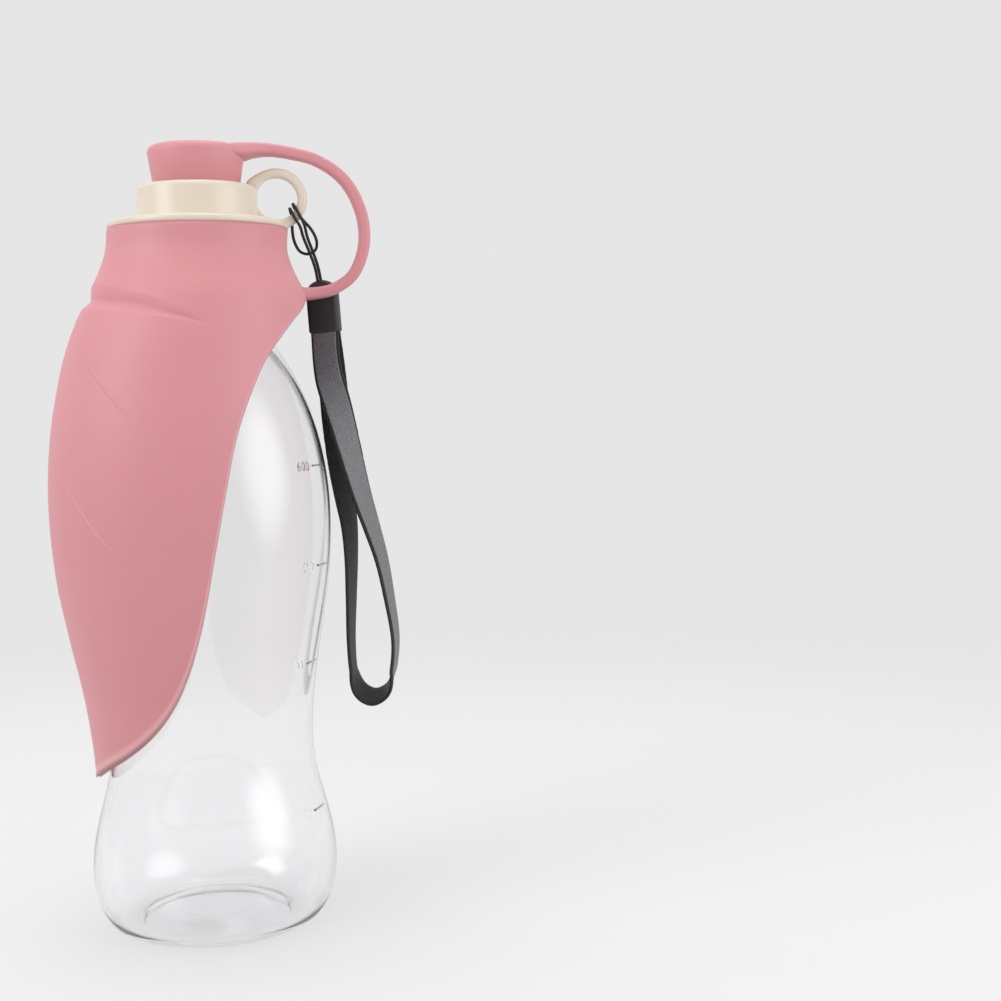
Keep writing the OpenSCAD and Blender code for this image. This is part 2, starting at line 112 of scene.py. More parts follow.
mm = 0.001
cord_d = 1 * mm
cord_points = [Vector(p) * mm for p in (
    (40.3, 7.9, 207.5), (39.9, 7.7, 211), (38.9, 6.9, 216), (37.2, 5.4, 220.8), (35.4, 2.3, 225),
    (34.3, -1.1, 228.6), (33, -2.2, 231.2), (31.9, -2.4, 233.2), (31.1, -1.7, 234.8),
    (30.8, 0, 235.5), (31.2, 1.7, 234.8), (32.2, 2.5, 233.1), (34.2, 2.9, 230.6),
    (36.9, 3.9, 227.6), (38.6, 5.3, 224.2), (38.3, 6.6, 221.3), (35.8, 7.1, 219.9),
    (33, 6.4, 220.8), (31.2, 5, 224), (30.6, 3.6, 227.6), (30.6, 2.6, 230.6), (30.1, 1.8, 233.1),
    (29.7, 0, 234), (30, -1.7, 233.3), (30.7, -2.5, 231.6), (31.6, -2.4, 230), (32.9, -1.5, 228),
    (34.1, 1.6, 224.7), (36.1, 5, 220.4), (37.9, 6.5, 215.6), (38.8, 7.2, 211), (39.2, 7.4, 207.5),
)]
cord_line = smooth_route(cord_points, 6)
curve = bpy.data.curves.new("thin_cord", "CURVE")
curve.dimensions = "3D"
curve.bevel_depth = cord_d / 2
curve.bevel_resolution = 3
spline = curve.splines.new("POLY")
spline.points.add(len(cord_line) - 1)
for point, place in zip(spline.points, cord_line):
    point.co = (*place, 1)
cord = bpy.data.objects.new("thin_cord", curve)
bpy.context.scene.collection.objects.link(cord)

braid, shader, add, join = new_material("braided_cord")
shader.inputs["Base Color"].default_value = (0.012, 0.012, 0.013, 1)
shader.inputs["Roughness"].default_value = 0.65
coords = add("ShaderNodeTexCoord")
plaits = add("ShaderNodeTexWave", wave_type="BANDS", bands_direction="DIAGONAL", Scale=900)
join(coords.outputs["Object"], plaits.inputs["Vector"])
raise_surface(shader, add, join, plaits.outputs["Color"], 0.6, 0.0001)
curve.materials.append(braid)

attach(cord, "lanyard")
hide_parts("lanyard_cord")


# Clamp: one soft dark moulding with a domed top. It holds the cord's two ends above and the
# webbing's two ends below, and it is glued shut round them.
def lofted(rings, ends=True):
    """A mesh through rings of points, with flat ends or open. Vertices keep their row and column."""
    bm = bmesh.new()
    for layer in ("column", "row"):
        bm.verts.layers.int.new(layer)
    column = bm.verts.layers.int["column"]
    row = bm.verts.layers.int["row"]
    start = bmesh.ops.create_circle(bm, segments=len(rings[0]), radius=1)["verts"]
    edges = list({e for v in start for e in v.link_edges})
    for i, v in enumerate(start):
        v[column] = i
        v.co = rings[0][i]
    for number, ring in enumerate(rings[1:], 1):
        drawn = bmesh.ops.extrude_edge_only(bm, edges=edges)["geom"]
        for v in drawn:
            if isinstance(v, bmesh.types.BMVert):
                v.co = ring[v[column]]
                v[row] = number
        edges = [
            e for e in drawn
            if isinstance(e, bmesh.types.BMEdge) and e.verts[0][row] == e.verts[1][row] == number
        ]
    if ends:
        bmesh.ops.holes_fill(bm, edges=[e for e in bm.edges if e.is_boundary], sides=0)
        bmesh.ops.recalc_face_normals(bm, faces=bm.faces)
    return bm


def into_piece(bm, name, body, finish):
    """Ends a mesh as a smooth object with one finish. It rides on a body unless that is None."""
    mesh = bpy.data.meshes.new(name)
    bm.to_mesh(mesh)
    bm.free()
    mesh.shade_smooth()
    mesh.materials.append(finish)
    piece = bpy.data.objects.new(name, mesh)
    bpy.context.scene.collection.objects.link(piece)
    if body:
        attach(piece, body)
    return piece


def two_tones(add, join, pattern, low, high):
    """A colour that runs from one tone to another as a pattern rises."""
    ramp = add("ShaderNodeValToRGB")
    ramp.color_ramp.elements[0].color = (*low, 1)
    ramp.color_ramp.elements[1].color = (*high, 1)
    join(pattern, ramp.inputs["Fac"])
    return ramp.outputs["Color"]


def soft_oblong(half_w, half_t, z, sides, square):
    """Points round an oblong with round corners, the squarer the lower the last value."""
    points = []
    for i in range(sides):
        a = 2 * math.pi * i / sides
        c, s = math.cos(a), math.sin(a)
        points.append(Vector((
            half_w * math.copysign(abs(c) ** square, c),
            half_t * math.copysign(abs(s) ** square, s), z,
        )))
    return points


def box_ring(half_w, half_t, corner, z, corner_steps=7):
    """Points round a rectangle whose corners are arcs."""
    corner = min(corner, half_w * 0.98, half_t * 0.98)
    points = []
    for side_x, side_y, start in ((1, 1, 0), (-1, 1, 90), (-1, -1, 180), (1, -1, 270)):
        for step in range(corner_steps):
            a = math.radians(start + 90 * step / (corner_steps - 1))
            points.append(Vector((
                side_x * (half_w - corner) + corner * math.cos(a),
                side_y * (half_t - corner) + corner * math.sin(a), z,
            )))
    return points


clamp_w, clamp_t, clamp_h = 10.6 * mm, 5.4 * mm, 17.6 * mm
clamp_dome, clamp_dome_steps = 5 * mm, 17
clamp_round = 1.4 * mm
clamp_top = Vector((40.1, 8.7, 211.4)) * mm
clamp_lean, clamp_twist = math.radians(-3.5), math.radians(-18)
clamp_place = (
    Matrix.Translation(clamp_top)
    @ Matrix.Rotation(clamp_lean, 4, "Y")
    @ Matrix.Rotation(clamp_twist, 4, "Z")
)
clamp_rings = []
# The bottom edge is turned in round the webbing
for inset, rise in ((1.2, 0.7), (0.9, 0.2), (0.6, 0), (0.25, 0.12), (0.05, 0.4), (0, 0.8)):
    clamp_rings.append(box_ring(
        clamp_w / 2 - inset * mm, clamp_t / 2 - inset * mm, clamp_round, rise * mm - clamp_h,
    ))
# The dome is round across its width and thins only near its top
for step in range(clamp_dome_steps):
    lift = math.sin(step / clamp_dome_steps * math.pi / 2)
    clamp_rings.append(box_ring(
        clamp_w / 2 * math.sqrt(1 - lift * lift), clamp_t / 2 * math.sqrt(1 - 0.75 * lift ** 5),
        clamp_round, clamp_dome * (lift - 1),
    ))
bm = lofted(clamp_rings)
bmesh.ops.transform(bm, matrix=clamp_place, verts=bm.verts)

dark, shader, add, join = new_material("dark_moulding")
shader.inputs["Roughness"].default_value = 0.5
coords = add("ShaderNodeTexCoord")
grain = add("ShaderNodeTexNoise", Scale=2500, Detail=3)
tone = add("ShaderNodeTexNoise", Scale=60, Detail=2)
join(coords.outputs["Object"], grain.inputs["Vector"])
join(coords.outputs["Object"], tone.inputs["Vector"])
colour = two_tones(add, join, tone.outputs["Fac"], (0.02, 0.016, 0.018), (0.03, 0.025, 0.027))
join(colour, shader.inputs["Base Color"])
raise_surface(shader, add, join, grain.outputs["Fac"], 0.35, 0.00008)
clamp = into_piece(bm, "clamp", "lanyard", dark)
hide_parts("lanyard_clamp")


# Wrist webbing: a flat woven strap 9.6 mm wide, hanging as one loop from the clamp. Its runs
# twist a little as they fall, and its two selvedges are scalloped by the weft's turns.
webbing_w, webbing_t = 9.6 * mm, 1.2 * mm
# Each row: the middle between the two runs, the gap between them, and the turn of their faces
webbing_rows = (
    ((40.8, 8.6, 199), 1.6, -18), ((41.2, 8.6, 193), 2.2, -24), ((41.8, 8.3, 185), 4, -24),
    ((42.5, 8, 178), 5.4, -14), ((43.7, 8, 171), 5.8, 0), ((45, 8, 162), 6.2, 18),
    ((47, 8, 149), 7.2, 34), ((49.1, 8, 138), 7.8, 44), ((51.2, 8, 128.5), 8.8, 52),
    ((53, 8, 117), 11.2, 60), ((54, 8, 104), 13.4, 66), ((54.7, 8, 90), 15.2, 71),
    ((54.5, 8, 79), 13.6, 73),
)
# The loop's lowest point, and how far the webbing is rolled about its length there
webbing_low_z = 69.6
webbing_lift = math.radians(26)


def facing(turn):
    """The level direction of a face that is turned by so many degrees from the front."""
    a = math.radians(turn)
    return Vector((math.sin(a), -math.cos(a), 0))


def run_points(way):
    """One run of the loop: where its middle lies and which way its outer face looks."""
    return [
        (Vector(mid) * mm + facing(turn) * way * gap / 2 * mm, facing(turn) * way)
        for mid, gap, turn in webbing_rows
    ]


low_mid, low_gap, low_turn = webbing_rows[-1]
low_out = facing(low_turn)
bottom_points = []
for angle in (-45, -90, -135):
    c, s = math.cos(math.radians(angle)), math.sin(math.radians(angle))
    drop = Vector((0, 0, (low_mid[2] - webbing_low_z) * s))
    bottom_points.append((
        (Vector(low_mid) + low_out * low_gap / 2 * c + drop) * mm,
        low_out * c + Vector((0, 0, s)),
    ))
loop = run_points(1) + bottom_points + list(reversed(run_points(-1)))
webbing_steps = 48
webbing_line = smooth_route([p for p, face in loop], webbing_steps)
webbing_faces = smooth_route([face for p, face in loop], webbing_steps)


def webbing_frame(i):
    """Directions across the webbing and out of its face, at one point of its route."""
    last = len(webbing_line) - 1
    ahead = (webbing_line[min(i + 1, last)] - webbing_line[max(i - 1, 0)]).normalized()
    out = webbing_faces[i]
    out = (out - ahead * out.dot(ahead)).normalized()
    low = (low_mid[2] - webbing_line[i].z / mm) / (low_mid[2] - webbing_low_z)
    lift = webbing_lift * max(0, min(1, low))
    across = ahead.cross(out) * math.cos(lift) + out * math.sin(lift)
    return across, across.cross(ahead)


scallop, scallop_deep = 0.6 * mm, 0.12 * mm
webbing_section = soft_oblong(webbing_w / 2, webbing_t / 2, 0, 20, 0.5)
travelled = [0]
for a, b in zip(webbing_line, webbing_line[1:]):
    travelled.append(travelled[-1] + (b - a).length)
webbing_rings = []
for i, middle in enumerate(webbing_line):
    across, face = webbing_frame(i)
    wave = scallop_deep * math.sin(2 * math.pi * travelled[i] / scallop)
    ring = []
    for p in webbing_section:
        edge = abs(p.x) / (webbing_w / 2) > 0.9
        aside = p.x + (math.copysign(wave, p.x) if edge else 0)
        ring.append(middle + across * aside + face * p.y)
    webbing_rings.append(ring)
bm = lofted(webbing_rings)


def unwrap(bm, along, around):
    """Lays out a lofted piece in metres: across it on U, along it on V."""
    column = bm.verts.layers.int["column"]
    row = bm.verts.layers.int["row"]
    uv = bm.loops.layers.uv.new("weave")
    count = len(around)
    for face in bm.faces:
        columns = [loop.vert[column] for loop in face.loops]
        over_seam = max(columns) - min(columns) > count / 2
        for loop in face.loops:
            c = loop.vert[column]
            u = around[c]
            if over_seam and c == 0:
                u = around[-1] + (around[1] - around[0])
            loop[uv].uv = (u, along[loop.vert[row]])


unwrap(bm, travelled, [p.x for p in webbing_section])

weave, shader, add, join = new_material("woven_webbing")
shader.inputs["Base Color"].default_value = (0.014, 0.014, 0.015, 1)
shader.inputs["Roughness"].default_value = 0.7
shader.inputs["Sheen Weight"].default_value = 0.25
shader.inputs["Sheen Roughness"].default_value = 0.4
uv = add("ShaderNodeUVMap", uv_map="weave")
warp = add("ShaderNodeTexWave", wave_type="BANDS", bands_direction="X", Scale=520)
weft = add("ShaderNodeTexWave", wave_type="BANDS", bands_direction="Y", Scale=520)
both = add("ShaderNodeMath", operation="MULTIPLY")
join(uv.outputs["UV"], warp.inputs["Vector"])
join(uv.outputs["UV"], weft.inputs["Vector"])
join(warp.outputs["Fac"], both.inputs[0])
join(weft.outputs["Fac"], both.inputs[1])
raise_surface(shader, add, join, both.outputs[0], 0.7, 0.0002)
webbing = into_piece(bm, "webbing", "lanyard", weave)
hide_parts("wrist_webbing")


# Reflective tape: a thin grey strip woven on to the webbing's outer face, a little narrower
# than it, so that a black selvedge shows along both sides.
tape_w, tape_t, tape_sunk = webbing_w - 1.4 * mm, 0.3 * mm, 0.08 * mm
tape_section = soft_oblong(tape_w / 2, tape_t / 2, 0, 16, 0.4)
tape_every = 8
tape_rings = []
for i, middle in enumerate(webbing_line[::tape_every]):
    across, face = webbing_frame(tape_every * i)
    centre = middle + face * (webbing_t / 2 + tape_t / 2 - tape_sunk)
    tape_rings.append([centre + across * p.x + face * p.y for p in tape_section])
bm = lofted(tape_rings)
unwrap(bm, travelled[::tape_every], [p.x for p in tape_section])

reflective, shader, add, join = new_material("reflective_weave")
shader.inputs["Roughness"].default_value = 0.6
shader.inputs["Metallic"].default_value = 0.1
uv = add("ShaderNodeUVMap", uv_map="weave")
beads = add("ShaderNodeTexVoronoi", Scale=2600)
threads = add("ShaderNodeTexWave", wave_type="BANDS", bands_direction="Y", Scale=420)
join(uv.outputs["UV"], beads.inputs["Vector"])
join(uv.outputs["UV"], threads.inputs["Vector"])
colour = two_tones(add, join, beads.outputs["Distance"], (0.13, 0.13, 0.14), (0.25, 0.25, 0.265))
join(colour, shader.inputs["Base Color"])
raise_surface(shader, add, join, threads.outputs["Fac"], 0.5, 0.00012)
tape = into_piece(bm, "reflective_strip", "lanyard", reflective)
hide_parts("reflective_tape")


# Floor, backdrop and light: a plain pale surface under soft light from both sides and above.
# It fades into the backdrop, which the camera, gloss and clear plastic see as a very light grey.
def seen_share(tree):
    """1 for rays from the camera, off gloss and through clear plastic, and 0 for plain light."""
    path = tree.nodes.new("ShaderNodeLightPath")
    share = path.outputs["Is Camera Ray"]
    for ray in ("Is Glossy Ray", "Is Transmission Ray"):
        either = tree.nodes.new("ShaderNodeMath")
        either.operation = "MAXIMUM"
        tree.links.new(share, either.inputs[0])
        tree.links.new(path.outputs[ray], either.inputs[1])
        share = either.outputs[0]
    return share


floor_fade_start, floor_fade_end = 0.3, 0.85
floor_glow = 0.3
sky_as_light, sky_as_seen = 0.62, 0.79
bm = bmesh.new()
bmesh.ops.create_circle(bm, segments=96, radius=1, cap_ends=True)
floor_mesh = bpy.data.meshes.new("floor")
bm.to_mesh(floor_mesh)
bm.free()
floor = bpy.data.objects.new("floor", floor_mesh)
bpy.context.scene.collection.objects.link(floor)
pale, shader, add, join = new_material("pale_floor")
shader.inputs["Base Color"].default_value = (0.55, 0.55, 0.55, 1)
shader.inputs["Roughness"].default_value = 0.7
shader.inputs["Specular IOR Level"].default_value = 0.1
coords = add("ShaderNodeTexCoord")
distance = add("ShaderNodeVectorMath", operation="LENGTH")
fade = add("ShaderNodeMapRange", interpolation_type="SMOOTHSTEP")
fade.inputs["From Min"].default_value = floor_fade_start
fade.inputs["From Max"].default_value = floor_fade_end
fade.inputs["To Min"].default_value = 1
fade.inputs["To Max"].default_value = 0
glow = add("ShaderNodeMath", operation="MULTIPLY")
glow.inputs[1].default_value = floor_glow
join(coords.outputs["Object"], distance.inputs[0])
join(distance.outputs["Value"], fade.inputs["Value"])
join(fade.outputs[0], shader.inputs["Alpha"])
join(seen_share(pale.node_tree), glow.inputs[0])
join(glow.outputs[0], shader.inputs["Emission Strength"])
shader.inputs["Emission Color"].default_value = (1, 1, 1, 1)
floor_mesh.materials.append(pale)

world = bpy.data.worlds.new("studio")
world.use_nodes = True
bpy.context.scene.world = world
tree = world.node_tree
backdrop = tree.nodes["Background"]
strength = tree.nodes.new("ShaderNodeMapRange")
strength.inputs["To Min"].default_value = sky_as_light
strength.inputs["To Max"].default_value = sky_as_seen
tree.links.new(seen_share(tree), strength.inputs["Value"])
tree.links.new(strength.outputs[0], backdrop.inputs["Strength"])
backdrop.inputs["Color"].default_value = (1, 1, 1, 1)
# A lamp's brightness in its middle, and where it starts and stops to fade as a share of its width
lamp_middle, lamp_fade_start, lamp_fade_end = 3.25, 0.1, 0.5


def soft_lamp(name, place, size, watts):
    """A soft box that looks at the bottle's middle. It fades towards its rim."""
    data = bpy.data.lights.new(name, "AREA")
    data.size = size
    data.energy = watts
    data.use_nodes = True
    tree = data.node_tree
    spot = tree.nodes.new("ShaderNodeNewGeometry")
    away = tree.nodes.new("ShaderNodeVectorMath")
    away.operation = "DISTANCE"
    away.inputs[1].default_value = (0.5, 0.5, 0)
    fade = tree.nodes.new("ShaderNodeMapRange")
    fade.interpolation_type = "SMOOTHSTEP"
    fade.inputs["From Min"].default_value = lamp_fade_start
    fade.inputs["From Max"].default_value = lamp_fade_end
    fade.inputs["To Min"].default_value = lamp_middle
    fade.inputs["To Max"].default_value = 0
    tree.links.new(spot.outputs["Parametric"], away.inputs[0])
    tree.links.new(away.outputs["Value"], fade.inputs["Value"])
    tree.links.new(fade.outputs[0], tree.nodes["Emission"].inputs["Strength"])
    lamp = bpy.data.objects.new(name, data)
    aim = Vector((0, 0, 0.12)) - Vector(place)
    turned = aim.to_track_quat("-Z", "Y").to_matrix().to_4x4()
    lamp.matrix_world = Matrix.Translation(place) @ turned
    bpy.context.scene.collection.objects.link(lamp)


soft_lamp("key", (-0.75, -0.35, 0.55), 0.9, 3.2)
soft_lamp("fill", (0.8, -0.5, 0.4), 1.2, 3.3)
soft_lamp("top", (0, 0.1, 1), 1.2, 2.6)
bpy.context.scene.view_settings.view_transform = "Standard"


# Bottle: one clear blown wall with two bulges and a gripped waist. It stands on a ring round
# a pushed-up base, and its neck has a bead that the cap's skirt stops above.
bottle_wall, heel_more, heel_h = 1.3, 0.7, 9
foot_r, punt_h, punt_r = 30, 5, 24
lower_r, lower_z = 39.8, 19.5
waist_r, waist_z = 32.9, 60
upper_r, upper_z = 40.6, 131
shoulder_rise, neck_h, neck_r = 59, 35, 21.5
shoulder_end_r = neck_r + 1.5
bottle_h = upper_z + shoulder_rise + neck_h
neck_bore_r = neck_r - 1.9
bead_z, bead_h, bead_out = 203.3, 2.4, neck_r + 3
# The direction across the mould's parting plane, and the half width and height of its line
parting_across = (0.9205, 0.3907, 0)
parting_half, parting_high = 0.6 * mm, 0.03 * mm


def spun(bm, outline, steps):
    """Spins an outline of radius and height in millimetres round the Z axis."""
    verts = [bm.verts.new((r * mm, 0, z * mm)) for r, z in outline]
    edges = [bm.edges.new(pair) for pair in zip(verts, verts[1:])]
    bmesh.ops.spin(bm, geom=verts + edges, cent=(0, 0, 0), axis=(0, 0, 1), angle=2 * math.pi,
                   steps=steps, use_merge=True)
    bmesh.ops.remove_doubles(bm, verts=bm.verts, dist=1e-7)
    bmesh.ops.recalc_face_normals(bm, faces=bm.faces)


def arc(centre, rx, ry, start, end, steps):
    """Points of radius and height round an ellipse, from one angle to another in degrees."""
    return [
        (centre[0] + rx * math.cos(math.radians(start + (end - start) * i / steps)),
         centre[1] + ry * math.sin(math.radians(start + (end - start) * i / steps)))
        for i in range(steps + 1)
    ]


def swell(start, end, t):
    """A smooth change from one radius to another, as t goes from 0 to 1."""
    return start + (end - start) * (1 - math.cos(math.pi * t)) / 2


def bottle_side(inset):
    """The wall's profile from the foot to the shoulder's end, this far inside the outer face."""
    dome_angle = math.degrees(math.acos(shoulder_end_r / upper_r))
    dome_h = shoulder_rise / math.sin(math.radians(dome_angle))
    heel = arc((foot_r, lower_z), lower_r - foot_r - inset, lower_z - inset, -90, 0, 20)
    if inset:
        # The blown wall is thicker round the foot
        heel = [(r, z + heel_more * max(0, 1 - z / heel_h) ** 2) for r, z in heel]
    low = [(swell(lower_r, waist_r, i / 20) - inset, lower_z + (waist_z - lower_z) * i / 20)
           for i in range(1, 21)]
    high = [(swell(waist_r, upper_r, i / 32) - inset, waist_z + (upper_z - waist_z) * i / 32)
            for i in range(1, 33)]
    dome = arc((0, upper_z), upper_r - inset, dome_h - inset, 0, dome_angle, 28)[1:]
    return heel + low + high + dome


outside = [(0, punt_h), (punt_r * 0.6, punt_h * 0.85), (punt_r - 1, punt_h * 0.5), (punt_r, 0)]
inside = [(r, z + bottle_wall) for r, z in outside]
bottle_outline = (
    outside + bottle_side(0)
    + [(neck_r, bead_z - 2), (neck_r, bead_z), (bead_out - 0.6, bead_z), (bead_out, bead_z + 0.6),
       (bead_out, bead_z + bead_h - 0.4), (bead_out - 0.4, bead_z + bead_h),
       (neck_r, bead_z + bead_h), (neck_r, bottle_h - 0.5), (neck_r - 0.5, bottle_h),
       (neck_bore_r, bottle_h), (neck_bore_r, bead_z - 3)]
    + bottle_side(bottle_wall)[::-1] + inside[::-1]
)
bm = bmesh.new()
spun(bm, bottle_outline, 192)
clear, shader, add, join = new_material("clear_plastic")
shader.inputs["Base Color"].default_value = (0.985, 0.985, 0.992, 1)
shader.inputs["Roughness"].default_value = 0.035
shader.inputs["Transmission Weight"].default_value = 1
shader.inputs["IOR"].default_value = 1.5
coords = add("ShaderNodeTexCoord")
flow = add("ShaderNodeTexNoise", Scale=25, Detail=1)
bump = add("ShaderNodeBump", Strength=0.12, Distance=0.0008)
# The mould's parting line runs up in front and behind, in a plane through the axis
off_plane = add("ShaderNodeVectorMath", operation="DOT_PRODUCT")
off_plane.inputs[1].default_value = parting_across
to_line = add("ShaderNodeMath", operation="ABSOLUTE")
ridge = add("ShaderNodeMapRange", interpolation_type="SMOOTHSTEP")
ridge.inputs["From Max"].default_value = parting_half
ridge.inputs["To Min"].default_value = 1
ridge.inputs["To Max"].default_value = 0
line_bump = add("ShaderNodeBump", Strength=0.2, Distance=parting_high)
join(coords.outputs["Object"], flow.inputs["Vector"])
join(flow.outputs["Fac"], bump.inputs["Height"])
join(coords.outputs["Object"], off_plane.inputs[0])
join(off_plane.outputs["Value"], to_line.inputs[0])
join(to_line.outputs[0], ridge.inputs["Value"])
join(ridge.outputs[0], line_bump.inputs["Height"])
join(bump.outputs["Normal"], line_bump.inputs["Normal"])
join(line_bump.outputs["Normal"], shader.inputs["Normal"])
# Lamps and sky shine through the clear wall on to the leaf behind it
path = add("ShaderNodeLightPath")
open_wall = add("ShaderNodeBsdfTransparent", Color=(0.96, 0.96, 0.965, 1))
surface = shader.outputs["BSDF"]
for ray in ("Is Shadow Ray", "Is Diffuse Ray"):
    let_through = add("ShaderNodeMixShader")
    join(path.outputs[ray], let_through.inputs[0])
    join(surface, let_through.inputs[1])
    join(open_wall.outputs["BSDF"], let_through.inputs[2])
    surface = let_through.outputs["Shader"]
join(surface, clear.node_tree.nodes["Material Output"].inputs["Surface"])
bottle = into_piece(bm, "clear_bottle", "bottle", clear)
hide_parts("bottle")


# Volume scale: numbers and short lines on the bottle's right side, in millilitres. They stand up
# a little from the wall, are moulded with it, and are of the same clear plastic.
def bottle_r(z):
    """The bottle's outer radius at a height, both in millimetres."""
    side = bottle_side(0)
    for (r0, z0), (r1, z1) in zip(side, side[1:]):
        if z0 <= z <= z1:
            return r0 + (r1 - r0) * (z - z0) / max(z1 - z0, 1e-6)
    return side[-1][0]


scale_turn = math.radians(-34)
scale_raised, scale_rooted = 0.15, 0.05
number_h = 4.4
line_at, line_long, line_thick = (6.5, 1.5, 0), 9, 0.5
line_place = Matrix.Translation(line_at) @ Matrix.Diagonal((line_long, line_thick, 1, 1))
for volume, z_mark in (("150", 37), ("300", 85), ("450", 117), ("600", 149)):
    text = bpy.data.curves.new("number", "FONT")
    text.body = volume
    text.size = number_h
    text.extrude = 0.5
    text.align_x = "RIGHT"
    text.resolution_u = 3
    words = bpy.data.objects.new("number", text)
    bm = bmesh.new()
    bm.from_mesh(words.to_mesh())
    words.to_mesh_clear()
    bpy.data.objects.remove(words)
    line = bmesh.ops.create_cube(bm, size=1)["verts"]
    bmesh.ops.transform(bm, matrix=line_place, verts=line)
    bmesh.ops.subdivide_edges(bm, edges=[e for e in bm.edges if e.calc_length() > 2], cuts=6)
    for v in bm.verts:
        z = z_mark + v.co.y
        a = scale_turn + v.co.x / bottle_r(z)
        r = bottle_r(z) + (scale_raised if v.co.z > 0 else -scale_rooted)
        v.co = Vector((r * math.cos(a), r * math.sin(a), z)) * mm
    bmesh.ops.recalc_face_normals(bm, faces=bm.faces)
    into_piece(bm, f"scale_{volume}", "bottle", clear)


# Thread: a raised helix of 4 mm a turn, moulded round the neck. Its ends run out over a sixth of
# a turn, and the cap's skirt has its counterpart.
thread_pitch, thread_high = 4, 0.6
thread_steps, thread_end_steps = 72, 12


def helix(radius, high, low_z, turns):
    """A threaded ridge standing out of a cylinder by so much, or inwards when that is negative."""
    steps = int(turns * thread_steps)
    sunk = -math.copysign(0.1, high)
    rings = []
    for i in range(steps + 1):
        a = 2 * math.pi * i / thread_steps
        tall = high * min(1, i / thread_end_steps, (steps - i) / thread_end_steps)
        z = low_z + thread_pitch * i / thread_steps
        rings.append([
            Vector(((radius + out) * math.cos(a), (radius + out) * math.sin(a), z + up)) * mm
            for out, up in ((sunk, -0.9), (tall, -0.35), (tall, 0.35), (sunk, 0.9))
        ])
    return lofted(rings)


bm = helix(neck_r, thread_high, low_z=209, turns=2.5)
into_piece(bm, "neck_thread", "bottle", clear)


# Cap: a glossy cream moulding. A flange carries a raised collar, and the spout stands on the
# collar. The threaded skirt below goes round the neck, and a ridge on it holds the leaf's lip.
flange_z, flange_t, flange_r = bottle_h + 2, 2.4, 29.1
flange_top = flange_z + flange_t
collar_r, collar_h, cap_wall = 19.4, 11.6, 2.1
collar_top = flange_top + collar_h
skirt_in = neck_r + 0.8
skirt_out = skirt_in + cap_wall + 0.6
skirt_low = flange_z - 21
lip_t, ridge_h, ridge_out = 2.4, 1.4, 1
ridge_z = flange_z - lip_t - ridge_h
spout_bore_r, spout_r = 6.5, 9.1
spout_top = collar_top + 6
ceiling = collar_top - cap_wall
cap_outline = (
    [(skirt_in, skirt_low), (skirt_out, skirt_low), (skirt_out, ridge_z),
     (skirt_out + ridge_out, ridge_z + ridge_h / 2), (skirt_out + ridge_out, ridge_z + ridge_h),
     (skirt_out, ridge_z + ridge_h), (skirt_out, flange_z)]
    + arc((flange_r - 0.9, flange_z + 0.9), 0.9, 0.9, -90, 0, 6)
    + arc((flange_r - 1.2, flange_top - 1.2), 1.2, 1.2, 0, 90, 6)
    + arc((collar_r + 1.8, flange_top + 1.8), 1.8, 1.8, 270, 180, 8)
    + arc((collar_r - 2, collar_top - 2), 2, 2, 0, 90, 10)
    + [(spout_r, collar_top), (spout_r, spout_top - 3.2), (spout_r + 1, spout_top - 1.6),
       (spout_r + 1, spout_top - 0.5), (spout_r + 0.5, spout_top), (spout_bore_r, spout_top),
       (spout_bore_r, ceiling), (collar_r - cap_wall - 1, ceiling),
       (collar_r - cap_wall, ceiling - 1), (collar_r - cap_wall, flange_z), (skirt_in, flange_z),
       (skirt_in, skirt_low)]
)
bm = bmesh.new()
spun(bm, cap_outline, 160)
cream, shader, add, join = new_material("cream_plastic")
shader.inputs["Roughness"].default_value = 0.22
shader.inputs["Subsurface Weight"].default_value = 0.15
shader.inputs["Subsurface Radius"].default_value = (0.003, 0.002, 0.0015)
coords = add("ShaderNodeTexCoord")
tone = add("ShaderNodeTexNoise", Scale=40, Detail=2)
grain = add("ShaderNodeTexNoise", Scale=900, Detail=2)
join(coords.outputs["Object"], tone.inputs["Vector"])
join(coords.outputs["Object"], grain.inputs["Vector"])
colour = two_tones(add, join, tone.outputs["Fac"], (0.76, 0.67, 0.56), (0.8, 0.71, 0.6))
join(colour, shader.inputs["Base Color"])
raise_surface(shader, add, join, grain.outputs["Fac"], 0.08, 0.0001)
cap = into_piece(bm, "screw_cap", "head", cream)
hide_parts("cap")
bm = helix(skirt_in, -thread_high, low_z=211, turns=2)
into_piece(bm, "cap_thread", "head", cream)


# The ring for the lanyard is part of the same moulding: a flat bar bent round, standing on
# the flange and leaning on the collar.
ring_hole_r, ring_bar, ring_w = 6.7, 3.2, 3.4
ring_r = ring_hole_r + ring_bar
ring_x, ring_z = collar_r + ring_hole_r - 0.5, flange_top + ring_hole_r + 1
ring_start, ring_sweep, ring_steps = -155, 319, 96
flare_start, flare_over, flare_most = 112, 36, 1.1
ring_rings = []
for i in range(ring_steps):
    turn = ring_start + ring_sweep * i / (ring_steps - 1)
    out = Vector((math.cos(math.radians(turn)), 0, math.sin(math.radians(turn))))
    # Its outer side flares into the collar like a moulded fillet, and the hole stays round
    flare = min(1, max(0, (turn - flare_start) / flare_over)) ** 2 * flare_most * mm
    centre = Vector((ring_x, 0, ring_z)) * mm + out * ((ring_r - ring_bar / 2) * mm + flare / 2)
    ring_rings.append([
        centre + out * p.x + Vector((0, p.y, 0))
        for p in box_ring((ring_bar * mm + flare) / 2, (ring_w * mm + flare) / 2, 1.2 * mm, 0)
    ])
into_piece(lofted(ring_rings), "lanyard_ring", "head", cream)


